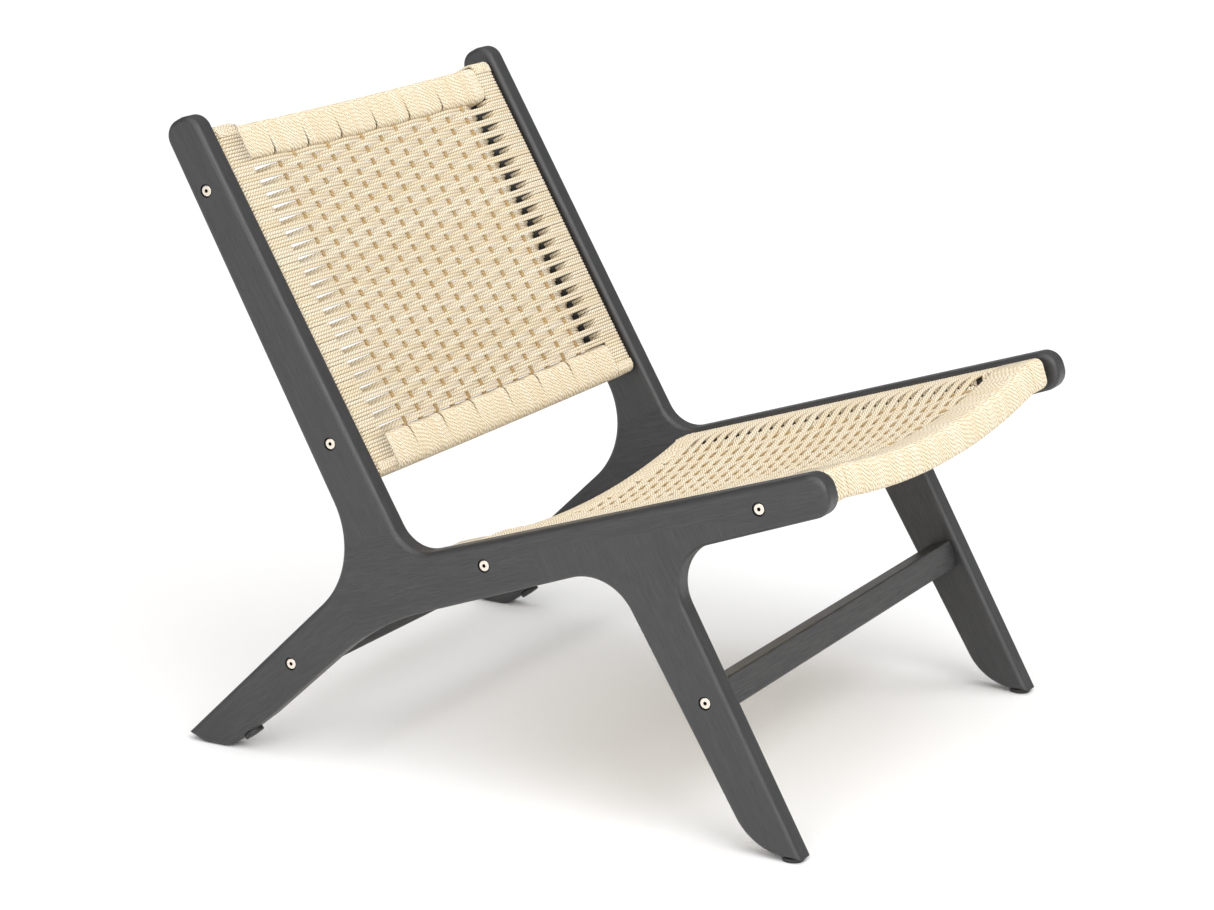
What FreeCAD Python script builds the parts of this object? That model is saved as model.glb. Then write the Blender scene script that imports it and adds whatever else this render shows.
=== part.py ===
"""Low lounge chair: two solid side frames, a woven back panel and a woven seat panel.

Millimetres.  X is the width, the sitter faces -Y, +Z is up.  The origin is on the floor
under the middle of the chair.  "right" is the sitter's right, which is -X.
"""
import FreeCAD
import Part
import math
import os

V = FreeCAD.Vector

# ---------------------------------------------------------------- driving dimensions
WIDTH = 640.0                # outer faces of the two side frames
FRAME_T = 27.25              # thickness of a side frame
FRAME_ROUND = 6.0            # roundover on the side frame's edges
FOOT_LIFT = 4.5              # thickness of a glide, which lifts the front foot

CORD_D = 4.0                 # paper cord
CORD_GAP = 0.3               # clearance between the cord solids and the wood
SPACER_L = 7.0               # washer stack between a side frame and a panel

SIDE_RAIL_W = 35.0           # panel side rail, across the chair
PANEL_RAIL_T = 28.0          # all panel rails, through the panel
RAIL_ROUND = 5.0
TENON_L = 14.0
TENON_T = 10.0
TENON_CLEAR = 0.15

BACK_SETBACK = 4.0           # cord surface behind the upright's front edge
BACK_BOW = 9.0
BACK_RAIL_H = 36.0
SEAT_SETBACK = 4.0           # cord surface below the seat rail's top edge
SEAT_BOW = 20.0
SEAT_FRONT_H = 46.0
SEAT_REAR_H = 30.0
WEAVE_T = 6.0                # woven skin between the wrapped rails

STRETCHER_W = 28.0
STRETCHER_H = 32.0
STRETCHER_TILT = 20.0        # degrees, its top face follows the seat

BOLT_D = 6.0
HEAD_D = 12.5
HEAD_H = 3.0
HEAD_SINK = 0.7              # head below the outer face
SOCKET_AF = 4.0
SOCKET_DEPTH = 2.0
COUNTERBORE_D = 15.0
BOLT_HOLE_D = 6.8
PANEL_BOLT_L = 40.0
STRETCHER_BOLT_L = 60.0
INSERT_D = 9.0
INSERT_L = 13.0
BARREL_D = 10.0
BARREL_L = 18.0
BARREL_IN = 30.0             # barrel nut's centre, in from the stretcher's end
SPACER_D = 16.0

DOWEL_D = 10.0
DOWEL_L = 40.0
LEG_DOWEL_L = 24.0
PIN_D = 8.0
PIN_L = 30.0
PIN_OFFSET = 10.5
PIN_IN_FRAME = 12.0
FIT = 0.15                   # radial clearance of dowels, nuts and inserts

GLIDE_D = 24.0
GLIDE_Y = -362.6             # front glide's centre
GLIDE_UP_SOLE = 33.0         # rear glide's centre, up the sole from its flat land
GLIDE_SCREW_D = 3.5
GLIDE_SCREW_L = 16.0         # in the wood
GLIDE_HEAD_D = 7.0
GLIDE_HEAD_H = 1.6
GLIDE_HEAD_SINK = 1.2        # head above the glide's worn face

X_OUT = WIDTH / 2
X_IN = X_OUT - FRAME_T
X_MID = (X_OUT + X_IN) / 2
X_RAIL = X_IN - SPACER_L     # outer face of the panels' side rails
X_CROSS = X_RAIL - SIDE_RAIL_W
X_SEAT_OF_HEAD = X_OUT - HEAD_SINK - HEAD_H

# Side frame outline: corner points (y, z), and the radius that rounds each one, or 0.
SEAT_TIP_TOP = (-391.7, 422.8)
SEAT_TIP_LOW = (-406.4, 380.1)
LAP_CORNER = (99.6, 260.7)
BACK_TIP_FRONT = (368.5, 723.8)
BACK_TIP_REAR = (407.9, 701.8)
WAIST = (158.0, 242.3)
TOE_TIP = (397.9, 8.4)
TOE_LOW = (377.0, 0.0)
SOLE_END = (342.1, 0.0)
REAR_INSTEP = (286.4, 45.3)
UNDER_CORNER = (142.9, 177.8)
ARCH = (-150.1, 285.1)
HEEL_CURVE = (-315.7, 12.5)
FOOT_REAR = (-351.8, FOOT_LIFT)
FOOT_FRONT = (-377.2, FOOT_LIFT)
LEG_CORNER = (-209.8, 307.3)

OUTLINE = [
    (SEAT_TIP_TOP, 20.0),
    (LAP_CORNER, 41.0),
    (BACK_TIP_FRONT, 19.2),
    (BACK_TIP_REAR, 19.2),
    (WAIST, 100.0),
    (TOE_TIP, 0.0),
    (TOE_LOW, 22.0),
    (SOLE_END, 30.0),
    (REAR_INSTEP, 120.0),
    (UNDER_CORNER, 340.0),
    (ARCH, 60.0),
    (HEEL_CURVE, 70.0),
    (FOOT_REAR, 8.0),
    (FOOT_FRONT, 0.0),
    (LEG_CORNER, 50.0),
    (SEAT_TIP_LOW, 20.0),
]

# Where the four glued members of a side frame meet.
UPRIGHT_JOINT = ((120.7, 291.0), (186.2, 254.5))
REAR_LEG_JOINT = ((199.7, 210.0), (149.7, 158.0))
FRONT_LEG_JOINT = ((-57.9, 295.0), (-297.0, 359.8))

# Bolt axes through a side frame (y, z).
BACK_BOLTS = [(350.4, 638.2), (195.6, 374.8)]
SEAT_BOLTS = [(1.8, 266.1), (-323.4, 374.8)]
FRONT_STRETCHER_AT = (-264.6, 157.6)
REAR_STRETCHER_AT = (253.7, 114.5)

# Ends of the panels' rails, measured along their own slope from the lap corner.
BACK_SPAN = (96.0, 512.0)
SEAT_SPAN = (25.0, 502.0)
BACK_TOP_DROP = 4.5          # the back's top rail stops this far below its side rails' ends


# ---------------------------------------------------------------- small helpers
def unit(a, b):
    """Unit (y, z) direction from a to b."""
    length = math.hypot(b[0] - a[0], b[1] - a[1])
    return ((b[0] - a[0]) / length, (b[1] - a[1]) / length)


def shifted(point, direction, distance):
    return (point[0] + direction[0] * distance, point[1] + direction[1] * distance)


def at(x, point):
    return V(x, point[0], point[1])


def rounded_wire(corners, x):
    """Closed wire in the plane X = x; each corner is ((y, z), radius), or radius 0 if sharp."""
    count = len(corners)
    arcs = []
    for index, (corner, radius) in enumerate(corners):
        before = unit(corner, corners[index - 1][0])
        after = unit(corner, corners[(index + 1) % count][0])
        half = math.acos(before[0] * after[0] + before[1] * after[1]) / 2
        tangent = radius / math.tan(half)
        bisector = unit((0.0, 0.0), (before[0] + after[0], before[1] + after[1]))
        middle = shifted(corner, bisector, radius / math.sin(half) - radius)
        arcs.append([at(x, shifted(corner, before, tangent)), at(x, middle),
                     at(x, shifted(corner, after, tangent))])
    edges = []
    for index, arc in enumerate(arcs):
        if corners[index][1] > 0:
            edges.append(Part.Arc(*arc).toShape())
        edges.append(Part.LineSegment(arc[2], arcs[(index + 1) % count][0]).toShape())
    return Part.Wire(edges)


def prism(points, x_from, x_to):
    """Straight-sided block over a (y, z) polygon."""
    ring = [at(x_from, p) for p in points]
    face = Part.Face(Part.makePolygon(ring + [ring[0]]))
    return face.extrude(V(x_to - x_from, 0, 0))


def rod(diameter, start, end):
    """Cylinder between two 3-D points."""
    axis = end - start
    return Part.makeCylinder(diameter / 2, axis.Length, start, axis)


def mirrored(shape):
    return shape.mirror(V(0, 0, 0), V(1, 0, 0))


def both_sides(shapes):
    return shapes + [mirrored(s) for s in shapes]


def single(shape):
    """The one solid of a boolean result."""
    solids = shape.Solids
    if len(solids) != 1:
        raise ValueError("expected one solid, got %d" % len(solids))
    return solids[0]


def save(name, shapes):
    """Write one node: a solid, or a group of like solids."""
    if len(shapes) == 1:
        body = shapes[0]
    else:
        body = Part.makeCompound(shapes)
    for solid in body.Solids:
        if not solid.isValid():
            raise ValueError(name + " is not valid")
    body.exportStep("parts/%s.step" % name)


class Panel:
    """A sloping panel: u runs along its slope, n out of its rails' front face."""

    def __init__(self, along, out, setback, span, bow):
        self.along = V(0, along[0], along[1])
        self.out = V(0, out[0], out[1])
        self.start = at(0, LAP_CORNER) - self.out * (setback + CORD_D)
        self.span = span
        self.bow = bow
        self.depth = (-PANEL_RAIL_T, 0.0)

    def point(self, x, u, n):
        return self.start + V(x, 0, 0) + self.along * u + self.out * n

    def block(self, x_range, u_range, n_range):
        corner = self.point(x_range[0], u_range[0], n_range[0])
        size_u = self.along * (u_range[1] - u_range[0])
        size_n = self.out * (n_range[1] - n_range[0])
        ring = [corner, corner + size_u, corner + size_u + size_n, corner + size_n, corner]
        return Part.Face(Part.makePolygon(ring)).extrude(V(x_range[1] - x_range[0], 0, 0))

    def bowed_board(self, half_x, u_range, n_range):
        """Board from side rail to side rail, bowed backwards in its middle."""
        rims = []
        for n in n_range:
            rims.append([self.point(-X_CROSS, u_range[0], n),
                         self.point(0, u_range[0], n - self.bow),
                         self.point(X_CROSS, u_range[0], n)])
        edges = [Part.Arc(*rims[0]).toShape(), Part.Arc(*rims[1]).toShape()]
        for k in (0, 2):
            edges.append(Part.LineSegment(rims[0][k], rims[1][k]).toShape())
        face = Part.Face(Part.Wire(Part.__sortEdges__(edges)))
        board = face.extrude(self.along * (u_range[1] - u_range[0]))
        if half_x < X_CROSS:
            keep = self.block((-half_x, half_x), grown(u_range, 50.0), (-120.0, 40.0))
            board = board.common(keep)
        return single(board)


def round_long_edges(shape, radius, least):
    """Round every edge that is longer than least."""
    return shape.makeFillet(radius, [e for e in shape.Edges if e.Length > least])


def grown(pair, amount):
    return (pair[0] - amount, pair[1] + amount)


# ---------------------------------------------------------------- side frames
UP_BACK = unit(LAP_CORNER, BACK_TIP_FRONT)
OUT_BACK = (-UP_BACK[1], UP_BACK[0])
UP_SEAT = unit(LAP_CORNER, SEAT_TIP_TOP)
OUT_SEAT = (UP_SEAT[1], -UP_SEAT[0])


def side_blank():
    """One whole right side frame, edges rounded, before it is cut into members."""
    face = Part.Face(rounded_wire(OUTLINE, -X_OUT))
    solid = face.extrude(V(FRAME_T, 0, 0))
    rims = []
    for edge in solid.Edges:
        ends = [v.Point.x for v in edge.Vertexes]
        if max(ends) - min(ends) < 1.0:
            rims.append(edge)
    return solid.makeFillet(FRAME_ROUND, rims)


def beyond(joint, sign):
    """Big block on one side of a joint line."""
    direction = unit(joint[0], joint[1])
    normal = (-direction[1] * sign, direction[0] * sign)
    a = shifted(joint[0], direction, -60.0)
    b = shifted(joint[1], direction, 60.0)
    points = [a, b, shifted(b, normal, 700.0), shifted(a, normal, 700.0)]
    return prism(points, -X_OUT - 10, -X_IN + 10)


def below_rail():
    """Block that holds the front leg, whose flared head is let into the rail."""
    rear, front = FRONT_LEG_JOINT
    line = unit(rear, front)
    down = (line[1], -line[0])
    if down[1] > 0:
        down = (-down[0], -down[1])
    points = [front, rear, shifted(rear, down, 60.0), (-60.0, -20.0), (-420.0, -20.0),
              (-420.0, 100.0), shifted(front, down, 60.0)]
    return prism(points, -X_OUT - 10, -X_IN + 10)


def joint_dowels():
    """Dowels of a side frame's three glued joints: centre, direction and length."""
    dowels = []
    joints = [(UPRIGHT_JOINT, (0.3, 0.7), DOWEL_L), (REAR_LEG_JOINT, (0.3, 0.7), DOWEL_L),
              (FRONT_LEG_JOINT, (0.36, 0.68), LEG_DOWEL_L)]
    for joint, places, length in joints:
        line = unit(joint[0], joint[1])
        width = math.hypot(joint[1][0] - joint[0][0], joint[1][1] - joint[0][1])
        for place in places:
            dowels.append((shifted(joint[0], line, width * place), (-line[1], line[0]), length))
    return dowels


def dowel(centre, direction, diameter, length):
    start = shifted(centre, direction, -length / 2)
    end = shifted(centre, direction, length / 2)
    return rod(diameter, at(-X_MID, start), at(-X_MID, end))


def stretcher_axes():
    """The stretchers' own directions: rearwards through the width, and up the height."""
    tilt = math.radians(STRETCHER_TILT)
    return (math.cos(tilt), -math.sin(tilt)), (math.sin(tilt), math.cos(tilt))


def pin_at(spot):
    return shifted(spot, stretcher_axes()[1], PIN_OFFSET)


def glide_spots():
    """Centre on the wood and outward direction of the front and rear glides."""
    sole = unit(SOLE_END, REAR_INSTEP)
    rear = shifted(SOLE_END, sole, GLIDE_UP_SOLE)
    front = (GLIDE_Y, FOOT_LIFT)
    return {"front": (front, (0.0, -1.0)), "rear": (rear, (-sole[1], sole[0]))}


def side_frame():
    """The four members of the right side frame, drilled and ready to glue."""
    cutters = []
    for point in BACK_BOLTS + SEAT_BOLTS + [FRONT_STRETCHER_AT, REAR_STRETCHER_AT]:
        outside = at(-X_OUT - 5, point)
        cutters.append(rod(COUNTERBORE_D, outside, at(-X_SEAT_OF_HEAD, point)))
        cutters.append(rod(BOLT_HOLE_D, outside, at(-X_IN + 5, point)))
    for centre, direction, length in joint_dowels():
        cutters.append(dowel(centre, direction, DOWEL_D + 2 * FIT, length + 2))
    for spot in (FRONT_STRETCHER_AT, REAR_STRETCHER_AT):
        bottom = at(-X_IN - PIN_IN_FRAME - 1, pin_at(spot))
        cutters.append(rod(PIN_D + 2 * FIT, bottom, at(-X_IN + 5, pin_at(spot))))
    for wood, outward in glide_spots().values():
        deep = shifted(wood, outward, -GLIDE_SCREW_L - 1)
        cutters.append(rod(GLIDE_SCREW_D + 2 * FIT, at(-X_MID, shifted(wood, outward, 2)),
                           at(-X_MID, deep)))
    drilled = side_blank().cut(cutters)
    above = beyond(UPRIGHT_JOINT, 1)
    behind = beyond(REAR_LEG_JOINT, 1)
    leg = below_rail()
    return {"back_upright": single(drilled.common(above)),
            "seat_rail": single(drilled.cut([above, behind, leg])),
            "front_leg": single(drilled.common(leg)),
            "rear_leg": single(drilled.common(behind))}


# ---------------------------------------------------------------- panel frames
BACK = Panel(UP_BACK, OUT_BACK, BACK_SETBACK, BACK_SPAN, BACK_BOW)
SEAT = Panel(UP_SEAT, OUT_SEAT, SEAT_SETBACK, SEAT_SPAN, SEAT_BOW)

# Each cross rail: its panel and its place along the slope.
BACK_LOW = BACK_SPAN[0]
BACK_HIGH = BACK_SPAN[1] - BACK_TOP_DROP
CROSS_RAILS = {
    "back_bottom": (BACK, (BACK_LOW, BACK_LOW + BACK_RAIL_H)),
    "back_top": (BACK, (BACK_HIGH - BACK_RAIL_H, BACK_HIGH)),
    "seat_rear": (SEAT, (SEAT_SPAN[0], SEAT_SPAN[0] + SEAT_REAR_H)),
    "seat_front": (SEAT, (SEAT_SPAN[1] - SEAT_FRONT_H, SEAT_SPAN[1])),
}
SIDE_RAIL_X = (-X_RAIL, -X_CROSS)
TENON_SHOULDER = 5.0


def tenon(panel, u_range, clear):
    """Right-hand tenon of a cross rail, or its mortise when clear is not zero."""
    middle = sum(panel.depth) / 2
    thickness = grown((middle, middle), TENON_T / 2 + clear)
    x_range = (-X_CROSS - TENON_L - clear, -X_CROSS + 2.0)
    return panel.block(x_range, grown(u_range, clear - TENON_SHOULDER), thickness)


def cross_rail(name):
    panel, u_range = CROSS_RAILS[name]
    board = round_long_edges(panel.bowed_board(X_CROSS, u_range, panel.depth),
                             RAIL_ROUND, 2 * X_CROSS - 5)
    return single(board.fuse(both_sides([tenon(panel, u_range, 0.0)])))


def panel_side_rail(panel, bolts):
    """Right side rail of a panel, mortised for the cross rails and bored for the inserts."""
    rail = panel.block(SIDE_RAIL_X, panel.span, panel.depth)
    rail = round_long_edges(rail, RAIL_ROUND, 2 * PANEL_RAIL_T)
    cutters = []
    for owner, u_range in CROSS_RAILS.values():
        if owner is panel:
            cutters.append(tenon(panel, u_range, TENON_CLEAR))
    for point in bolts:
        bottom = at(-X_RAIL + INSERT_L + 2, point)
        cutters.append(rod(INSERT_D + 2 * FIT, at(-X_RAIL - 5, point), bottom))
    return single(rail.cut(cutters))


# ---------------------------------------------------------------- cords
def rail_core(name):
    """Space that a cross rail takes up inside its cords."""
    panel, u_range = CROSS_RAILS[name]
    return panel.bowed_board(X_CROSS, grown(u_range, CORD_GAP), grown(panel.depth, CORD_GAP))


def side_wraps(panel, bolts):
    """Cords wound round a panel's right side rail, open where the bolts' spacers pass."""
    sleeve = panel.block(grown(SIDE_RAIL_X, CORD_D), grown(panel.span, CORD_D),
                         grown(panel.depth, CORD_D))
    sleeve = round_long_edges(sleeve, RAIL_ROUND + CORD_D, 2 * PANEL_RAIL_T)
    cutters = [panel.block(grown(SIDE_RAIL_X, CORD_GAP), grown(panel.span, CORD_GAP),
                           grown(panel.depth, CORD_GAP))]
    for name, (owner, _) in CROSS_RAILS.items():
        if owner is panel:
            cutters.append(rail_core(name))
    for point in bolts:
        cutters.append(rod(SPACER_D + 2 * CORD_GAP, at(-X_RAIL - CORD_D - 2, point),
                           at(-X_RAIL + 1, point)))
    return single(sleeve.cut(cutters))


def cross_wraps(name):
    """Cords wound round a cross rail, between the two side rails' wraps."""
    panel, u_range = CROSS_RAILS[name]
    half = X_CROSS - CORD_D - CORD_GAP
    sleeve = panel.bowed_board(half, grown(u_range, CORD_D), grown(panel.depth, CORD_D))
    sleeve = round_long_edges(sleeve, RAIL_ROUND + CORD_D, 2 * half - 5)
    return single(sleeve.cut(rail_core(name)))


def weave(low_name, high_name):
    """Woven skin stretched between the four wrapped rails."""
    panel, low_range = CROSS_RAILS[low_name]
    high_range = CROSS_RAILS[high_name][1]
    margin = CORD_D + CORD_GAP
    u_range = (low_range[1] + margin, high_range[0] - margin)
    return panel.bowed_board(X_CROSS - margin, u_range, (CORD_D - WEAVE_T, CORD_D))


# ---------------------------------------------------------------- stretchers
def stretcher(spot):
    rearward, upward = stretcher_axes()
    corners = []
    for w, h in ((-1, -1), (1, -1), (1, 1), (-1, 1)):
        corner = shifted(spot, rearward, w * STRETCHER_W / 2)
        corners.append(shifted(corner, upward, h * STRETCHER_H / 2))
    bar = round_long_edges(prism(corners, -X_IN, X_IN), 2.0, X_IN)
    cutters = [rod(BOLT_HOLE_D, at(-X_IN - 5, spot), at(-X_IN + STRETCHER_BOLT_L - 15, spot)),
               rod(PIN_D + 2 * FIT, at(-X_IN - 5, pin_at(spot)),
                   at(-X_IN + PIN_L - PIN_IN_FRAME + 1, pin_at(spot))),
               barrel(spot, BARREL_D + 2 * FIT, STRETCHER_W / 2 + 5)]
    return single(bar.cut(both_sides(cutters)))


def barrel(spot, diameter, rear_reach):
    """Cross-drilled cylinder near the stretcher's right end, open to the rear."""
    rearward = stretcher_axes()[0]
    x = -X_IN + BARREL_IN
    front = at(x, shifted(spot, rearward, -BARREL_L / 2))
    return rod(diameter, front, at(x, shifted(spot, rearward, rear_reach)))


def barrel_nut(spot):
    nut = barrel(spot, BARREL_D, BARREL_L / 2)
    return single(nut.cut(rod(BOLT_D + 2 * FIT, at(-X_IN, spot), at(-X_CROSS + 40, spot))))


# ---------------------------------------------------------------- hardware
def hexagon(across_flats, x, point, depth):
    """Hexagonal socket cut inwards from x."""
    radius = across_flats / math.sqrt(3)
    ring = []
    for k in range(7):
        turn = math.radians(60 * k)
        ring.append(V(x, point[0] + radius * math.cos(turn), point[1] + radius * math.sin(turn)))
    return Part.Face(Part.makePolygon(ring)).extrude(V(depth, 0, 0))


def bolt(point, length):
    """Button-head bolt driven in from the right side frame's outer face."""
    top = -X_OUT + HEAD_SINK
    head = rod(HEAD_D, at(top, point), at(-X_SEAT_OF_HEAD, point))
    rim = [e for e in head.Edges if abs(e.CenterOfMass.x - top) < 0.01]
    head = head.makeFillet(1.2, rim)
    shank = rod(BOLT_D, at(-X_SEAT_OF_HEAD, point), at(-X_SEAT_OF_HEAD + length, point))
    return single(head.fuse(shank).cut(hexagon(SOCKET_AF, top, point, SOCKET_DEPTH)))


def ring(outer, inner, start, end):
    return single(rod(outer, start, end).cut(rod(inner, start, end)))


def spacer(point):
    return ring(SPACER_D, BOLT_HOLE_D, at(-X_IN, point), at(-X_RAIL, point))


def insert(point):
    return ring(INSERT_D, BOLT_D + 2 * FIT, at(-X_RAIL, point), at(-X_RAIL + INSERT_L, point))


def glide(place):
    """Nylon disc under a foot, with a sunk screw hole."""
    wood, outward = glide_spots()[place]
    base = at(-X_MID, shifted(wood, outward, FOOT_LIFT))
    top = at(-X_MID, wood)
    disc = rod(GLIDE_D, top, base)
    disc = disc.makeFillet(1.0, [e for e in disc.Edges if (e.CenterOfMass - base).Length < 0.01])
    sunk = at(-X_MID, shifted(wood, outward, FOOT_LIFT - GLIDE_HEAD_SINK - GLIDE_HEAD_H))
    cutters = [rod(GLIDE_HEAD_D + 2 * FIT, sunk, base), rod(GLIDE_SCREW_D + 2 * FIT, top, sunk)]
    return single(disc.cut(cutters))


def glide_screw(place):
    wood, outward = glide_spots()[place]
    under_head = shifted(wood, outward, FOOT_LIFT - GLIDE_HEAD_SINK - GLIDE_HEAD_H)
    tip = shifted(wood, outward, -GLIDE_SCREW_L)
    head = rod(GLIDE_HEAD_D, at(-X_MID, under_head),
               at(-X_MID, shifted(under_head, outward, GLIDE_HEAD_H)))
    return single(head.fuse(rod(GLIDE_SCREW_D, at(-X_MID, tip), at(-X_MID, under_head))))


# ---------------------------------------------------------------- all nodes
def save_sides(name, shapes):
    """Write the right-hand pieces and their mirror images as two nodes."""
    save("right_" + name, shapes)
    save("left_" + name, [mirrored(s) for s in shapes])


os.makedirs("parts", exist_ok=True)

for member, solid in side_frame().items():
    save_sides(member, [solid])
save_sides("frame_dowels", [dowel(c, d, DOWEL_D, length) for c, d, length in joint_dowels()])

for panel_name, panel, panel_bolts in (("back", BACK, BACK_BOLTS), ("seat", SEAT, SEAT_BOLTS)):
    save_sides(panel_name + "_panel_rail", [panel_side_rail(panel, panel_bolts)])
    save_sides(panel_name + "_side_wraps", [side_wraps(panel, panel_bolts)])
for rail_name in CROSS_RAILS:
    save(rail_name + "_rail", [cross_rail(rail_name)])
    save(rail_name + "_wraps", [cross_wraps(rail_name)])
save("back_weave", [weave("back_bottom", "back_top")])
save("seat_weave", [weave("seat_rear", "seat_front")])

save_sides("panel_bolts", [bolt(p, PANEL_BOLT_L) for p in BACK_BOLTS + SEAT_BOLTS])
save_sides("panel_spacers", [spacer(p) for p in BACK_BOLTS + SEAT_BOLTS])
save_sides("panel_inserts", [insert(p) for p in BACK_BOLTS + SEAT_BOLTS])

STRETCHERS = {"front": FRONT_STRETCHER_AT, "rear": REAR_STRETCHER_AT}
save_sides("stretcher_bolts", [bolt(s, STRETCHER_BOLT_L) for s in STRETCHERS.values()])
for place, spot in STRETCHERS.items():
    pin = rod(PIN_D, at(-X_IN - PIN_IN_FRAME, pin_at(spot)),
              at(-X_IN + PIN_L - PIN_IN_FRAME, pin_at(spot)))
    save(place + "_stretcher", [stretcher(spot)])
    save(place + "_stretcher_pins", both_sides([pin]))
    save(place + "_barrel_nuts", both_sides([barrel_nut(spot)]))
    save(place + "_glides", both_sides([glide(place)]))
    save(place + "_glide_screws", both_sides([glide_screw(place)]))
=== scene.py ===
import math
import random

import bmesh
import bpy
import numpy as np
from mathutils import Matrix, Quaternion, Vector


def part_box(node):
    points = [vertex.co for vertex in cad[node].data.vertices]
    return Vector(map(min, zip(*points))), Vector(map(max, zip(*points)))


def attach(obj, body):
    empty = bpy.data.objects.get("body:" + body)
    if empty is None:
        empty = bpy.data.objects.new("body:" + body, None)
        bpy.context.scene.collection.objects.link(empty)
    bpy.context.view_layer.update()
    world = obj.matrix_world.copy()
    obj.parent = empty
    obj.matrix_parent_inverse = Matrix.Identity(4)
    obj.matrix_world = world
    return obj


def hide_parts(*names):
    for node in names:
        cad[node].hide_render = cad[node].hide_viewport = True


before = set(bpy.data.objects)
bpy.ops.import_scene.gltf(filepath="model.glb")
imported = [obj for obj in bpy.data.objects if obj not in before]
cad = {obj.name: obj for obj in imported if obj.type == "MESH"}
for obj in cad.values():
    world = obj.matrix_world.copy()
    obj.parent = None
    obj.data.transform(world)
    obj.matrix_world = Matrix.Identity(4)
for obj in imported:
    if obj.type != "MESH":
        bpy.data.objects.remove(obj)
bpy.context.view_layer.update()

scene = bpy.context.scene


# ------------------------------------------------------------------ studio
# A white floor under soft light: a key lamp in front of the chair on its right, a weaker
# lamp level with the chair on the same side, and a wide skylight in a bright white room.
FLOOR_HALF = 30.0
FLOOR_WHITE = (0.95, 0.95, 0.95)
ROOM_WHITE = (1.0, 1.0, 1.0, 1.0)
ROOM_STRENGTH = 0.38
CHAIR_MIDDLE = (0.0, 0.0, 0.4)


def plain_material(name, colour, roughness):
    """Even finish, which other nodes may then vary."""
    material = bpy.data.materials.new(name)
    material.use_nodes = True
    shader = material.node_tree.nodes["Principled BSDF"]
    shader.inputs["Base Color"].default_value = (*colour, 1.0)
    shader.inputs["Roughness"].default_value = roughness
    return material


floor_bm = bmesh.new()
bmesh.ops.create_grid(floor_bm, x_segments=2, y_segments=2, size=FLOOR_HALF)
floor_mesh = bpy.data.meshes.new("studio_floor")
floor_bm.to_mesh(floor_mesh)
floor_bm.free()
studio_floor = bpy.data.objects.new("studio_floor", floor_mesh)
scene.collection.objects.link(studio_floor)
floor_mesh.materials.append(plain_material("floor_paint", FLOOR_WHITE, roughness=0.9))

room = bpy.data.worlds.new("studio_room")
room.use_nodes = True
room_light = room.node_tree.nodes["Background"]
room_light.inputs["Color"].default_value = ROOM_WHITE
room_light.inputs["Strength"].default_value = ROOM_STRENGTH
scene.world = room
scene.view_settings.view_transform = "Standard"


def softbox(name, place, size, power):
    """Square area lamp at place, facing the chair."""
    lamp = bpy.data.lights.new(name, "AREA")
    lamp.size = size
    lamp.energy = power
    holder = bpy.data.objects.new(name, lamp)
    holder.location = place
    direction = Vector(CHAIR_MIDDLE) - Vector(place)
    holder.rotation_euler = direction.to_track_quat("-Z", "Y").to_euler()
    scene.collection.objects.link(holder)


softbox("key_lamp", (-1.6, -2.6, 2.6), size=2.2, power=40.0)
softbox("side_lamp", (-3.2, 0.4, 1.4), size=1.6, power=18.0)

skylight = bpy.data.lights.new("skylight", "SUN")
skylight.energy = 2.8
skylight.angle = math.radians(110.0)
skylight_holder = bpy.data.objects.new("skylight", skylight)
skylight_holder.rotation_euler = (math.radians(24.0), math.radians(-22.0), 0.0)
scene.collection.objects.link(skylight_holder)


# ------------------------------------------------------------------ camera
# A long lens well back from the chair, looking down a little on its right front corner.
# It is turned in three steps: to its heading, up to its tilt, and by a slight roll.
HEADING, TILT, ROLL = -60.8150, 74.9527, 0.1322
ACROSS_AXIS, UPRIGHT_AXIS = (1, 0, 0), (0, 0, 1)

lens = bpy.data.cameras.new("camera")
lens.sensor_fit = "HORIZONTAL"
lens.sensor_width = 36.0
lens.lens = 98.425
lens.clip_end = 100.0
camera = bpy.data.objects.new("camera", lens)
camera.location = (-3.20462, -1.75941, 1.29672)
camera.rotation_mode = "QUATERNION"
turn = Quaternion()
for axis, degrees in ((UPRIGHT_AXIS, HEADING), (ACROSS_AXIS, TILT), (UPRIGHT_AXIS, ROLL)):
    turn = turn @ Quaternion(axis, math.radians(degrees))
camera.rotation_quaternion = turn
scene.collection.objects.link(camera)
scene.camera = camera


# ------------------------------------------------------------------ side frames
# Four members of solid ash on each side, glued and sanded as one flat frame, stained
# black and sprayed with satin lacquer, so the open grain still shows as fine streaks.
MIX_FACTOR, MIX_A, MIX_B, MIX_RESULT = 0, 6, 7, 2    # the Mix node's colour sockets


def group_socket(tree, name, kind, direction, value=None):
    """Named input or output of a node group."""
    socket = tree.interface.new_socket(name=name, in_out=direction, socket_type=kind)
    if value is not None:
        socket.default_value = value


def ramp(tree, source, low, high):
    """Clamped straight ramp from 0 at low to 1 at high."""
    node = tree.nodes.new("ShaderNodeMapRange")
    node.inputs["From Min"].default_value = low
    node.inputs["From Max"].default_value = high
    tree.links.new(source, node.inputs["Value"])
    return node.outputs["Result"]


def noise(tree, vector, scale, detail=3.0, distortion=0.0):
    """Soft random pattern with scale cells to the metre."""
    node = tree.nodes.new("ShaderNodeTexNoise")
    node.inputs["Scale"].default_value = scale
    node.inputs["Detail"].default_value = detail
    node.inputs["Distortion"].default_value = distortion
    tree.links.new(vector, node.inputs["Vector"])
    return node.outputs["Fac"]


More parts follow.
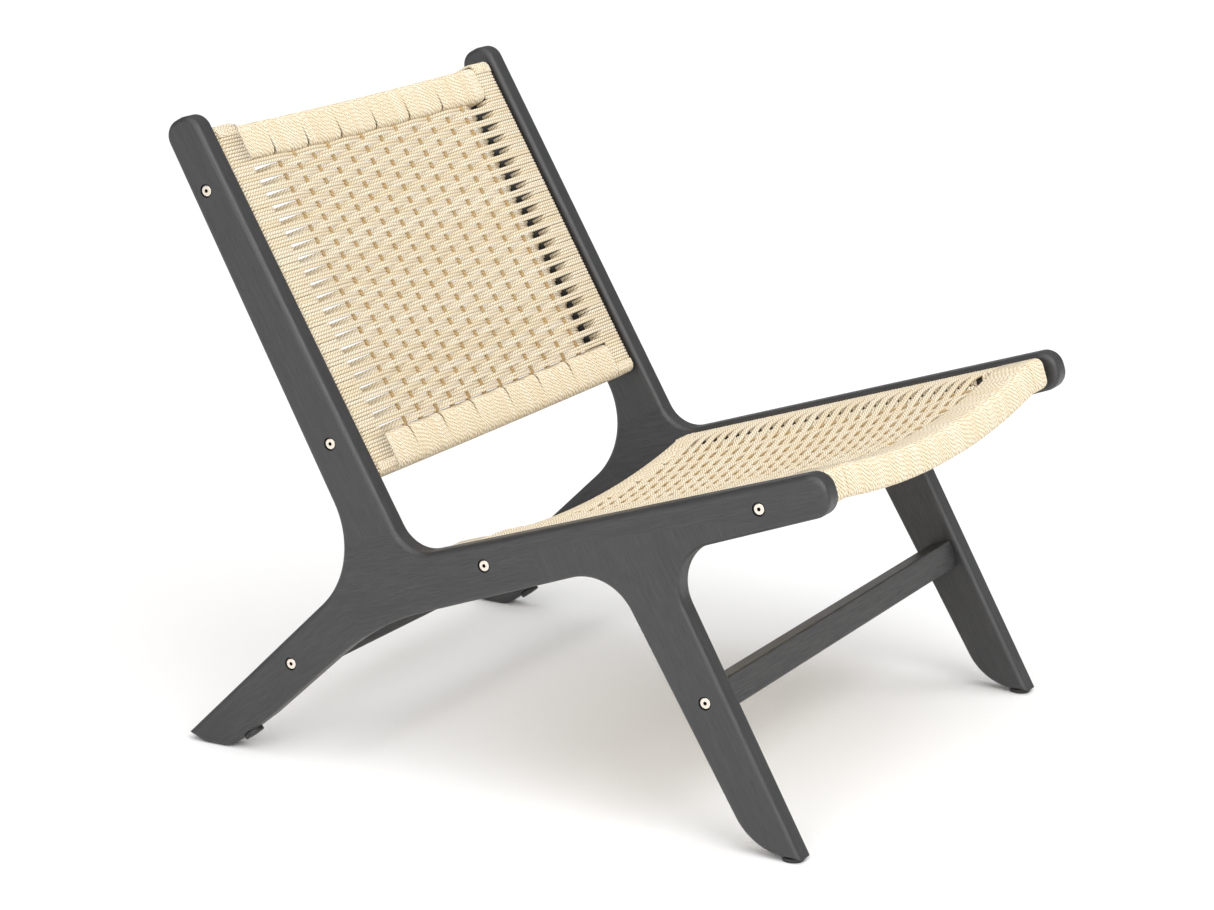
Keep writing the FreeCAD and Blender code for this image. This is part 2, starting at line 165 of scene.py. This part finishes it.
def mixed(tree, factor, a, b):
    """Colour between a and b; each is a socket or an RGB tuple."""
    node = tree.nodes.new("ShaderNodeMix")
    node.data_type = "RGBA"
    for index, value in ((MIX_A, a), (MIX_B, b)):
        if isinstance(value, tuple):
            node.inputs[index].default_value = (*value, 1.0)
        else:
            tree.links.new(value, node.inputs[index])
    tree.links.new(factor, node.inputs[MIX_FACTOR])
    return node.outputs[MIX_RESULT]


def scaled(tree, vector, amounts):
    """Vector stretched or squeezed along each axis."""
    node = tree.nodes.new("ShaderNodeVectorMath")
    node.operation = "MULTIPLY"
    node.inputs[1].default_value = amounts
    tree.links.new(vector, node.inputs[0])
    return node.outputs["Vector"]


def math_node(tree, operation, *values):
    """Sum on sockets and numbers, in the order that the operation takes them."""
    node = tree.nodes.new("ShaderNodeMath")
    node.operation = operation
    for index, value in enumerate(values):
        if isinstance(value, (int, float)):
            node.inputs[index].default_value = value
        else:
            tree.links.new(value, node.inputs[index])
    return node.outputs["Value"]


def weighted(tree, a, a_share, b, b_share):
    """Sum of two masks, each by its share."""
    return math_node(tree, "ADD", math_node(tree, "MULTIPLY", a, a_share),
                     math_node(tree, "MULTIPLY", b, b_share))


def bumped(tree, height, depth, strength):
    """Surface normal raised by a height of 0 to 1, where 1 stands depth metres proud."""
    node = tree.nodes.new("ShaderNodeBump")
    node.inputs["Distance"].default_value = depth
    node.inputs["Strength"].default_value = strength
    tree.links.new(height, node.inputs["Height"])
    return node.outputs["Normal"]


ash_grain = bpy.data.node_groups.new("ash_grain", "ShaderNodeTree")
group_socket(ash_grain, "Vector", "NodeSocketVector", "INPUT")
group_socket(ash_grain, "Dark", "NodeSocketColor", "INPUT", (0.02, 0.02, 0.02, 1.0))
group_socket(ash_grain, "Light", "NodeSocketColor", "INPUT", (0.06, 0.06, 0.06, 1.0))
group_socket(ash_grain, "Color", "NodeSocketColor", "OUTPUT")
group_socket(ash_grain, "Roughness", "NodeSocketFloat", "OUTPUT")
group_socket(ash_grain, "Height", "NodeSocketFloat", "OUTPUT")
into = ash_grain.nodes.new("NodeGroupInput")
out_of = ash_grain.nodes.new("NodeGroupOutput")
along_grain = scaled(ash_grain, into.outputs["Vector"], (1.0, 0.045, 1.0))
rings = noise(ash_grain, along_grain, scale=42.0, detail=2.0, distortion=0.6)
streaks = noise(ash_grain, along_grain, scale=420.0, detail=4.0)
pores = noise(ash_grain, along_grain, scale=900.0, detail=2.0)
clouds = noise(ash_grain, into.outputs["Vector"], scale=9.0)
ring_mask = ramp(ash_grain, rings, low=0.25, high=0.75)
streak_mask = ramp(ash_grain, streaks, low=0.34, high=0.66)
pore_mask = ramp(ash_grain, pores, low=0.36, high=0.52)
tone_mask = weighted(ash_grain, streak_mask, 0.6, ring_mask, 0.4)
grain_colour = mixed(ash_grain, tone_mask, into.outputs["Dark"], into.outputs["Light"])
pored_colour = mixed(ash_grain, pore_mask, into.outputs["Dark"], grain_colour)
ash_grain.links.new(pored_colour, out_of.inputs["Color"])
satin = math_node(ash_grain, "MULTIPLY_ADD", clouds, 0.16, 0.36)
ash_grain.links.new(satin, out_of.inputs["Roughness"])
relief = weighted(ash_grain, pore_mask, 0.6, streak_mask, 0.4)
ash_grain.links.new(relief, out_of.inputs["Height"])


def wood(name, rotation, dark, light):
    """Wood whose grain runs along the direction that rotation turns to +Y."""
    material = plain_material(name, light, roughness=0.45)
    tree = material.node_tree
    place = tree.nodes.new("ShaderNodeTexCoord")
    mapping = tree.nodes.new("ShaderNodeMapping")
    mapping.inputs["Rotation"].default_value = rotation
    tree.links.new(place.outputs["Object"], mapping.inputs["Vector"])
    grain = tree.nodes.new("ShaderNodeGroup")
    grain.node_tree = ash_grain
    grain.inputs["Dark"].default_value = (*dark, 1.0)
    grain.inputs["Light"].default_value = (*light, 1.0)
    tree.links.new(mapping.outputs["Vector"], grain.inputs["Vector"])
    raised = bumped(tree, grain.outputs["Height"], depth=0.0003, strength=0.5)
    shader = tree.nodes["Principled BSDF"]
    shader.inputs["Specular IOR Level"].default_value = 0.75
    tree.links.new(grain.outputs["Color"], shader.inputs["Base Color"])
    tree.links.new(grain.outputs["Roughness"], shader.inputs["Roughness"])
    tree.links.new(raised, shader.inputs["Normal"])
    return material


def dress(nodes, material):
    """Give CAD nodes their finish."""
    for node in nodes:
        for slot in cad[node].material_slots:
            slot.material = material


def both_sides(name):
    return "right_" + name, "left_" + name


STAIN_DARK = (0.011, 0.011, 0.012)
STAIN_LIGHT = (0.027, 0.027, 0.028)
GRAIN_SLOPE = {"back_upright": 59.9, "seat_rail": 161.7, "front_leg": 61.1, "rear_leg": -38.7}
stained = {}
for member, slope in GRAIN_SLOPE.items():
    stained[member] = wood("stained_ash_" + member, (math.radians(-slope), 0.0, 0.0),
                           STAIN_DARK, STAIN_LIGHT)
    dress(both_sides(member), stained[member])


# ------------------------------------------------------------------ stretchers and rails
# Two stained ash bars tie the side frames together, and the rails under the cords are
# stained too. Dowels and pins are plain beech, out of sight inside the joints.
GRAIN_ACROSS = (0.0, 0.0, math.radians(90.0))
BAR_LIGHT = (0.042, 0.040, 0.038)
BEECH_DARK = (0.42, 0.27, 0.15)
BEECH_LIGHT = (0.62, 0.46, 0.30)

dress(("front_stretcher", "rear_stretcher", "back_top_rail", "back_bottom_rail",
       "seat_front_rail", "seat_rear_rail"),
      wood("stained_ash_across", GRAIN_ACROSS, STAIN_DARK, BAR_LIGHT))
dress(both_sides("back_panel_rail"), stained["back_upright"])
dress(both_sides("seat_panel_rail"), stained["seat_rail"])
dress((*both_sides("frame_dowels"), "front_stretcher_pins", "rear_stretcher_pins"),
      wood("plain_beech", GRAIN_ACROSS, BEECH_DARK, BEECH_LIGHT))


# ------------------------------------------------------------------ metal and nylon
# Zinc-plated button-head bolts with a hexagon socket, passivated to a pale straw colour,
# with brass inserts and barrel nuts, and black nylon washers and glides.
ZINC = (0.86, 0.78, 0.68)
BRASS = (0.76, 0.58, 0.28)
NYLON = (0.018, 0.018, 0.018)
# Painted shade: the near-black colour inside the bolt heads' hexagon sockets.
SOCKET_PAINTED_SHADE = (0.012, 0.009, 0.008)
SOCKET_DEPTH = 0.0011        # from a bolt head's crown to the level of its socket
SOCKET_BLEND = 0.0003
SPOT_SHADE = 0.82            # how dark a spot is beside the clean finish
ROUGHNESS_RANGE = 0.25
ROUGHNESS_DROP = 0.12

mottle = bpy.data.node_groups.new("mottle", "ShaderNodeTree")
group_socket(mottle, "Vector", "NodeSocketVector", "INPUT")
group_socket(mottle, "Scale", "NodeSocketFloat", "INPUT", 900.0)
group_socket(mottle, "Smoothest", "NodeSocketFloat", "INPUT", 0.18)
group_socket(mottle, "Dark", "NodeSocketColor", "INPUT", (0.7, 0.7, 0.7, 1.0))
group_socket(mottle, "Light", "NodeSocketColor", "INPUT", (0.8, 0.8, 0.8, 1.0))
group_socket(mottle, "Color", "NodeSocketColor", "OUTPUT")
group_socket(mottle, "Roughness", "NodeSocketFloat", "OUTPUT")
group_socket(mottle, "Height", "NodeSocketFloat", "OUTPUT")
into = mottle.nodes.new("NodeGroupInput")
out_of = mottle.nodes.new("NodeGroupOutput")
spots = noise(mottle, into.outputs["Vector"], scale=900.0, detail=4.0)
mottle.links.new(into.outputs["Scale"], spots.node.inputs["Scale"])
spotted = mixed(mottle, spots, into.outputs["Dark"], into.outputs["Light"])
mottle.links.new(spotted, out_of.inputs["Color"])
dulled = math_node(mottle, "MULTIPLY_ADD", spots, ROUGHNESS_RANGE, into.outputs["Smoothest"])
mottle.links.new(dulled, out_of.inputs["Roughness"])
mottle.links.new(spots, out_of.inputs["Height"])


def worn(name, colour, metallic, roughness, scale):
    """Finish with fine mottling in its colour, roughness and surface."""
    material = plain_material(name, colour, roughness)
    tree = material.node_tree
    place = tree.nodes.new("ShaderNodeTexCoord")
    wear = tree.nodes.new("ShaderNodeGroup")
    wear.node_tree = mottle
    wear.inputs["Scale"].default_value = scale
    wear.inputs["Smoothest"].default_value = roughness - ROUGHNESS_DROP
    wear.inputs["Dark"].default_value = (*(c * SPOT_SHADE for c in colour), 1.0)
    wear.inputs["Light"].default_value = (*colour, 1.0)
    tree.links.new(place.outputs["Object"], wear.inputs["Vector"])
    pitted = bumped(tree, wear.outputs["Height"], depth=0.0001, strength=0.4)
    shader = tree.nodes["Principled BSDF"]
    shader.inputs["Metallic"].default_value = metallic
    tree.links.new(wear.outputs["Roughness"], shader.inputs["Roughness"])
    tree.links.new(wear.outputs["Color"], shader.inputs["Base Color"])
    tree.links.new(pitted, shader.inputs["Normal"])
    return material


def paint_socket_shade(material, level):
    """Paint shade on what lies nearer the middle plane than level: the sockets and recesses
    are coloured near-black as painted shade.
    """
    tree = material.node_tree
    colour_in = tree.nodes["Principled BSDF"].inputs["Base Color"]
    place = tree.nodes.new("ShaderNodeTexCoord")
    parts = tree.nodes.new("ShaderNodeSeparateXYZ")
    tree.links.new(place.outputs["Object"], parts.inputs["Vector"])
    outward = math_node(tree, "ABSOLUTE", parts.outputs["X"])
    # The mask is 1 where the painted shade of the socket goes.
    socket_shade_mask = ramp(tree, outward, level - SOCKET_BLEND, level)
    clean = colour_in.links[0].from_socket
    tree.links.new(mixed(tree, socket_shade_mask, SOCKET_PAINTED_SHADE, clean), colour_in)


bolt_zinc = worn("zinc_bolt_heads", ZINC, metallic=1.0, roughness=0.30, scale=900.0)
# Painted shade in the hexagon sockets of the bolt heads, below their crowns.
paint_socket_shade(bolt_zinc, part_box("left_panel_bolts")[1].x - SOCKET_DEPTH)
dress((*both_sides("panel_bolts"), *both_sides("stretcher_bolts")), bolt_zinc)
dress(("front_glide_screws", "rear_glide_screws"),
      worn("zinc_steel", ZINC, metallic=1.0, roughness=0.30, scale=900.0))
dress((*both_sides("panel_inserts"), "front_barrel_nuts", "rear_barrel_nuts"),
      worn("turned_brass", BRASS, metallic=1.0, roughness=0.30, scale=700.0))
dress((*both_sides("panel_spacers"), "front_glides", "rear_glides"),
      worn("black_nylon", NYLON, metallic=0.0, roughness=0.55, scale=1500.0))


# ------------------------------------------------------------------ paper cord
# Three-ply twisted kraft paper cord, unbleached and unwaxed. It is wound tight in one
# layer, so neighbours press together, and the twist shows as a slanting row of lobes.
# The grooves between the plies' lobes are given painted shade in their colour.
CORD_R = 0.00205
PLIES = 3
LAY = 0.015                  # length of one full turn of the twist
SIDES = 6
FACE_CORNERS = 4
# Each cord's own colour, and the painted shade for the grooves between its plies.
PALE, PALE_PAINTED_SHADE = (0.84, 0.775, 0.64), (0.46, 0.34, 0.19)
BROWN, BROWN_PAINTED_SHADE = (0.52, 0.38, 0.20), (0.30, 0.19, 0.08)
AGEING = (0.93, 0.87, 0.76)  # what an older length of cord keeps of each colour

twist = bpy.data.node_groups.new("cord_twist", "ShaderNodeTree")
group_socket(twist, "UV", "NodeSocketVector", "INPUT")
group_socket(twist, "Crest", "NodeSocketFloat", "OUTPUT")
group_socket(twist, "Fibre", "NodeSocketFloat", "OUTPUT")
into = twist.nodes.new("NodeGroupInput")
out_of = twist.nodes.new("NodeGroupOutput")
parts = twist.nodes.new("ShaderNodeSeparateXYZ")
twist.links.new(into.outputs["UV"], parts.inputs["Vector"])
turns_along = math_node(twist, "DIVIDE", parts.outputs["X"], LAY)
turned = math_node(twist, "ADD", turns_along, parts.outputs["Y"])
lobe = math_node(twist, "MULTIPLY", turned, PLIES * math.pi)
crest = math_node(twist, "ABSOLUTE", math_node(twist, "SINE", lobe))
twist.links.new(crest, out_of.inputs["Crest"])
fibre = noise(twist, scaled(twist, into.outputs["UV"], (1.0, 0.004, 1.0)), scale=700.0)
twist.links.new(fibre, out_of.inputs["Fibre"])


def cord_material(name, pale, groove_painted_shade):
    """Cord finish: pale on the plies' crests, with painted shade in golden brown in the
    grooves between them.
    """
    material = plain_material(name, pale, roughness=0.8)
    tree = material.node_tree
    uv = tree.nodes.new("ShaderNodeUVMap")
    uv.uv_map = "cord"
    plies = tree.nodes.new("ShaderNodeGroup")
    plies.node_tree = twist
    tree.links.new(uv.outputs["UV"], plies.inputs["UV"])
    tone = tree.nodes.new("ShaderNodeAttribute")
    tone.attribute_name = "tone"
    aged = tuple(c * kept for c, kept in zip(pale, AGEING))
    light = mixed(tree, tone.outputs["Fac"], pale, aged)
    fibre_mask = ramp(tree, plies.outputs["Fibre"], low=0.45, high=0.85)
    fibrous = mixed(tree, fibre_mask, light, aged)
    # Painted shade: the grooves between the plies' crests take the shade colour.
    crest_shade_mask = ramp(tree, plies.outputs["Crest"], low=0.15, high=0.75)
    height = weighted(tree, plies.outputs["Crest"], 0.85, plies.outputs["Fibre"], 0.15)
    raised = bumped(tree, height, depth=0.0007, strength=0.8)
    shader = tree.nodes["Principled BSDF"]
    shader.inputs["Sheen Weight"].default_value = 0.12
    shader.inputs["Specular IOR Level"].default_value = 0.25
    tree.links.new(mixed(tree, crest_shade_mask, groove_painted_shade, fibrous), shader.inputs["Base Color"])
    tree.links.new(raised, shader.inputs["Normal"])
    return material


pale_cord = cord_material("paper_cord", PALE, PALE_PAINTED_SHADE)
warp_cord = cord_material("paper_cord_warp", BROWN, BROWN_PAINTED_SHADE)


def make_cords(name, paths, material, *stand_ins):
    """One piece from many cords; each path is (points, closed) in metres."""
    curve = bpy.data.curves.new(name, "CURVE")
    curve.dimensions = "3D"
    curve.bevel_depth = CORD_R
    curve.bevel_resolution = (SIDES - 4) // 2
    along, tones, closes = [], [], []
    dice = random.Random(name)
    for points, closed in paths:
        spline = curve.splines.new("POLY")
        spline.points.add(len(points) - 1)
        spline.use_cyclic_u = closed
        flat = np.ones((len(points), 4))
        flat[:, :3] = points
        spline.points.foreach_set("co", flat.ravel())
        runs = np.linalg.norm(np.diff(np.vstack([points, points[:1]]), axis=0), axis=1)
        start = dice.random() * LAY
        along.append(start + np.concatenate([[0.0], np.cumsum(runs)[:-1]]))
        closes.append(np.full(len(points), start + runs.sum()))
        tones.append(np.full(len(points), dice.random()))
    holder = bpy.data.objects.new(name + "_line", curve)
    scene.collection.objects.link(holder)
    bpy.context.view_layer.update()
    shown = holder.evaluated_get(bpy.context.evaluated_depsgraph_get())
    mesh = bpy.data.meshes.new_from_object(shown)
    bpy.data.objects.remove(holder)
    mesh.name = name

    # The tube has a ring of SIDES vertices at each point, joined by four-cornered faces.
    # A face that closes a ring or a loop counts on to the end, so the twist has no break.
    corner = np.zeros(len(mesh.loops), int)
    mesh.loops.foreach_get("vertex_index", corner)
    station = (corner // SIDES).reshape(-1, FACE_CORNERS)
    around = (corner % SIDES).reshape(-1, FACE_CORNERS)
    closes_ring = around.max(1, keepdims=True) == SIDES - 1
    around = np.where((around == 0) & closes_ring, SIDES, around)
    lengths = np.concatenate(along)[station]
    ends = np.concatenate(closes)[station]
    closes_loop = (lengths.max(1) - lengths.min(1)) > 0.5 * (ends - lengths).max(1)
    first = station == station.min(1, keepdims=True)
    lengths = np.where(closes_loop[:, None] & first, ends, lengths)
    uv = np.stack([lengths.ravel(), around.ravel() / SIDES], axis=1)
    mesh.uv_layers.new(name="cord").data.foreach_set("uv", uv.ravel())
    tone = mesh.attributes.new("tone", "FLOAT", "POINT")
    tone.data.foreach_set("value", np.repeat(np.concatenate(tones), SIDES))

    ends_bm = bmesh.new()
    ends_bm.from_mesh(mesh)
    rims = [edge for edge in ends_bm.edges if edge.is_boundary]
    bmesh.ops.holes_fill(ends_bm, edges=rims, sides=SIDES)
    bmesh.ops.recalc_face_normals(ends_bm, faces=ends_bm.faces)
    for face in ends_bm.faces:
        face.smooth = True
    ends_bm.to_mesh(mesh)
    ends_bm.free()
    mesh.materials.clear()
    mesh.materials.append(material)
    piece = bpy.data.objects.new(name, mesh)
    scene.collection.objects.link(piece)
    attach(piece, "root")
    if stand_ins:
        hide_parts(*stand_ins)


# ------------------------------------------------------------------ panel shapes
# Each panel is a flat pair of side rails joined by two rails that bow backwards, so the
# woven cords lie in a shallow scoop. u runs up the slope, n out of the front face.
RAIL_ROUND = 0.005


class Panel:
    """Size and place of one panel, worked out from the box of its right side rail."""

    def __init__(self, part, slope, bow, slack):
        self.along = np.array([0.0, math.cos(slope), math.sin(slope)])
        self.out = np.array([0.0, -math.sin(slope), math.cos(slope)])
        if self.out[1] * self.along[1] > 0:
            self.out = -self.out
        lo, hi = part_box("right_%s_panel_rail" % part)
        a, b = abs(self.along[1]), abs(self.along[2])
        wide, tall = hi.y - lo.y, hi.z - lo.z
        self.length = (a * wide - b * tall) / (a * a - b * b)
        self.deep = (a * tall - b * wide) / (a * a - b * b)
        start_y = lo.y if self.along[1] > 0 else hi.y
        self.start = np.array([0.0, start_y, lo.z + abs(self.out[2]) * self.deep])
        self.x_in, self.x_out = -hi.x, -lo.x
        self.bow = bow
        self.slack = slack

    def sag(self, x, share=0.0):
        """Depth of the scoop at x; share runs from 0 at one cross rail to 1 at the other."""
        slack = self.slack * 4 * share * (1 - share)
        return (self.bow + slack) * (1 - min(1.0, abs(x) / self.x_in) ** 2)

    def at(self, x, u, n):
        """Point in space from the panel's own measures."""
        return self.start + np.array([x, 0.0, 0.0]) + self.along * u + self.out * n

    def span(self, node):
        """Where a cross rail's wood starts and ends along the slope."""
        lo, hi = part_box(node)
        axis = 1 if abs(self.along[1]) > abs(self.along[2]) else 2
        reach = self.deep + self.bow
        middle = (lo[axis] + hi[axis]) / 2 - self.start[axis] + self.out[axis] * reach / 2
        spread = hi[axis] - lo[axis] - 2 * RAIL_ROUND
        spread -= abs(self.out[axis]) * (reach - 2 * RAIL_ROUND)
        half = spread / abs(self.along[axis]) / 2 + RAIL_ROUND
        centre = middle / self.along[axis]
        return centre - half, centre + half


back = Panel("back", math.radians(59.862), bow=0.009, slack=0.002)
seat = Panel("seat", math.radians(161.740), bow=0.020, slack=0.008)


# ------------------------------------------------------------------ woven cords
# The warp is a pair of cords every 35.5 mm from rail to rail. The weft crosses it in pairs,
# over one and under the next, and is wound round the side rails: a pair that ends over
# goes across the rail's top, and a pair that ends under comes up from below it.
PITCH = 0.0039
COLUMNS = 12
COLUMN_GAP = 0.0355
FIRST_COLUMN = -COLUMN_GAP * (COLUMNS - 1) / 2
WAVE = 0.0023                # how far a weft cord rises and falls between warp columns
WAVE_STEPS = 5
UNEVEN = 0.0002              # how far a cord strays from its place
WARP_DROP = 0.0010
WARP_PAIR = ((-0.0012, 0.0), (0.0014, 0.0012))   # each cord's shift across, and its drop
WARP_BEND = 0.005            # from a cross rail to where the warp turns down beside it
WARP_DIVE = (0.006, 0.018)
WARP_STEPS = 12
TURN_R = 0.007               # a wound cord's own radius at the rails' rounded edges
TURN_STEPS = 3
OVER_RUN = ((0.030, CORD_R - WARP_DROP), (0.010, CORD_R))    # inwards of the rail, and n
UNDER_RUN = ((0.044, -0.0045), (0.022, -0.015))
END_TURNS = 9
END_RISE = 1.5               # where an end turn leaves the top, in insets from the end


def arc(centre, start, sweep, steps=TURN_STEPS):
    """Points round a rail's edge, in degrees: 0 points outwards and 90 out of the front."""
    turns = [math.radians(start + sweep * k / steps) for k in range(steps + 1)]
    return [(centre[0] + TURN_R * math.cos(t), centre[1] + TURN_R * math.sin(t))
            for t in turns]


def rail_section(panel):
    """Centres of the four rounded corners of a side rail, as (|x|, n)."""
    inset = TURN_R - CORD_R
    return {"in_top": (panel.x_in + inset, -inset), "out_top": (panel.x_out - inset, -inset),
            "out_low": (panel.x_out - inset, inset - panel.deep),
            "in_low": (panel.x_in + inset, inset - panel.deep)}


def over_end(panel):
    """From the panel over the rail's top, round its outside and back underneath."""
    c = rail_section(panel)
    return ([(panel.x_in - inwards, n) for inwards, n in OVER_RUN]
            + arc(c["in_top"], 90, -1, steps=1) + arc(c["out_top"], 90, -90)
            + arc(c["out_low"], 0, -90) + arc(c["in_low"], 270, -90))


def under_end(panel):
    """From the panel down to the rail's lower edge, then right round it."""
    c = rail_section(panel)
    return ([(panel.x_in - inwards, n) for inwards, n in UNDER_RUN]
            + arc(c["in_low"], 215, 55, steps=2) + arc(c["out_low"], 270, 90)
            + arc(c["out_top"], 0, 90) + arc(c["in_top"], 90, 90)
            + [(panel.x_in - CORD_R, -panel.deep * 0.5)])


def weft(panel, u, share, pair, dice):
    """One weft cord, from one side rail's winding to the other's."""
    right_over = pair % 2 == 0
    left_over = right_over == (COLUMNS % 2 == 1)
    sign = 1 if right_over else -1
    middle = []
    for k in range(WAVE_STEPS * (COLUMNS - 1) + 1):
        x = FIRST_COLUMN + COLUMN_GAP * k / WAVE_STEPS
        wave = sign * WAVE * math.cos(math.pi * k / WAVE_STEPS)
        level = CORD_R - WARP_DROP - panel.sag(x, share)
        middle.append((x, level + wave + dice.uniform(-UNEVEN, UNEVEN)))
    right = [(-x, n) for x, n in (over_end(panel) if right_over else under_end(panel))]
    left = over_end(panel) if left_over else under_end(panel)
    drift = dice.uniform(-UNEVEN, UNEVEN)
    section = right[::-1] + middle + left
    return np.array([panel.at(x, u + drift, n) for x, n in section])


def side_turn(panel, u, side):
    """A cord wound round a side rail beside the end of a cross rail."""
    c = rail_section(panel)
    section = ([(panel.x_in - CORD_R, CORD_R)]
               + arc(c["out_top"], 90, -90) + arc(c["out_low"], 0, -90)
               + [(panel.x_in - CORD_R, -CORD_R - panel.deep)])
    return np.array([panel.at(side * x, u, n) for x, n in section])


def end_turn(panel, x, end, reach):
    """A cord that folds over the end of a side rail, from its top to its underside."""
    inset = TURN_R - CORD_R
    outward = -1 if end < panel.length / 2 else 1
    top = [(end - outward * reach, CORD_R), (end - outward * inset * END_RISE, CORD_R)]
    fold = [(end - outward * (inset - u), n - inset) for u, n in arc((0.0, 0.0), 80, -80)]
    low = [(u, -n - panel.deep) for u, n in (top + fold)[::-1]]
    return np.array([panel.at(x, u, n) for u, n in top + fold + low])


def warp_line(panel, x, drop, low, high, inner):
    """One warp cord, which turns down beside the cross rail at each end."""
    flat = CORD_R - WARP_DROP - drop
    level = flat - panel.sag(x)
    shallow, deep = WARP_DIVE
    line = [(low[1] + CORD_R, level - deep), (low[1] + CORD_R, level - shallow),
            (low[1] + WARP_BEND, level)]
    line += [(inner[0] + (inner[1] - inner[0]) * k / WARP_STEPS,
              flat - panel.sag(x, k / WARP_STEPS)) for k in range(1, WARP_STEPS)]
    line += [(high[0] - WARP_BEND, level), (high[0] - CORD_R, level - shallow),
             (high[0] - CORD_R, level - deep)]
    return np.array([panel.at(x, u, n) for u, n in line])


def weave_panel(name, panel, low, high, low_reach, high_reach):
    """All the cords of a panel between its cross rails, and round its side rails."""
    dice = random.Random(name)
    inner = (low[1] + 2 * CORD_R, high[0] - 2 * CORD_R)
    count = 2 * round((inner[1] - inner[0]) / PITCH / 2)
    step = (inner[1] - inner[0]) / count
    wefts = []
    for k in range(count):
        u = inner[1] - step * (k + 0.5)
        share = (u - inner[0]) / (inner[1] - inner[0])
        wefts.append((weft(panel, u, share, k // 2, dice), False))
    make_cords(name + "_weft", wefts, pale_cord, name + "_weave",
               *both_sides(name + "_side_wraps"))

    warps = []
    for column in range(COLUMNS):
        for shift, drop in WARP_PAIR:
            x = FIRST_COLUMN + COLUMN_GAP * column + shift
            warps.append((warp_line(panel, x, drop, low, high, inner), False))
    make_cords(name + "_warp", warps, warp_cord)

    corners = []
    for side in (-1, 1):
        for start, stop in ((0.0, inner[0]), (inner[1], panel.length)):
            turns = round((stop - start) / PITCH)
            for k in range(turns):
                u = start + (stop - start) * (k + 0.5) / turns
                corners.append((side_turn(panel, u, side), False))
        for end, reach in ((0.0, low_reach), (panel.length, high_reach)):
            for k in range(END_TURNS):
                across = (panel.x_out - panel.x_in) * (k + 0.5) / END_TURNS
                x = side * (panel.x_in + across)
                corners.append((end_turn(panel, x, end, reach), False))
    make_cords(name + "_corner_turns", corners, pale_cord)


# ------------------------------------------------------------------ wound cross rails
# Single cords wound side by side round the bowed rails. Beside every second warp pair
# the turns part a little at the rail's inner edge, where that pair dips behind the weft.
NOTCH = 0.0028
NOTCH_REACH = 0.020
NOTCH_FROM, NOTCH_OVER = 0.55, 0.45      # shares of the rail's width: start, and length
NOTCH_DEPTH = 0.006
LOW_FOLD = 0.3                           # share of the lower rail under the end turns
BACK_TOP_FOLD = 0.012


def parted(x, strength):
    """Sideways shift of a turn near the warp pairs that dip."""
    nearest = min((FIRST_COLUMN + COLUMN_GAP * c for c in range(0, COLUMNS, 2)),
                  key=lambda column: abs(x - column))
    away = x - nearest
    if abs(away) > NOTCH_REACH:
        return 0.0
    push = NOTCH * (1 - abs(away) / NOTCH_REACH) * strength
    return math.copysign(push, away)


def wound_rail(name, panel, span, inner_is_high):
    """Turns round a cross rail, up to the side rails' windings."""
    inset = TURN_R - CORD_R
    low, high = span[0] + inset, span[1] - inset
    section = (arc((high, -inset), 90, -90) + arc((high, inset - panel.deep), 0, -90)
               + arc((low, inset - panel.deep), 270, -90) + arc((low, -inset), 180, -90))
    turns = []
    reach = panel.x_in - CORD_R
    count = 2 * round(reach / PITCH)
    for k in range(count):
        x = -reach + 2 * reach * (k + 0.5) / count
        points = []
        for u, n in section:
            share = (u - span[0]) / (span[1] - span[0])
            share = share if inner_is_high else 1 - share
            near = max(0.0, min(1.0, (share - NOTCH_FROM) / NOTCH_OVER))
            shift = parted(x, near if n > -NOTCH_DEPTH else 0.0)
            points.append(panel.at(x + shift, u, n - panel.sag(x)))
        turns.append((np.array(points), True))
    make_cords(name + "_turns", turns, pale_cord, name + "_wraps")


for part, panel, low_name, high_name in (("back", back, "back_bottom", "back_top"),
                                         ("seat", seat, "seat_rear", "seat_front")):
    low, high = panel.span(low_name + "_rail"), panel.span(high_name + "_rail")
    high_reach = BACK_TOP_FOLD if panel is back else panel.length - high[0]
    weave_panel(part, panel, low, high, low[1] * LOW_FOLD, high_reach)
    wound_rail(low_name, panel, low, inner_is_high=True)
    wound_rail(high_name, panel, high, inner_is_high=False)
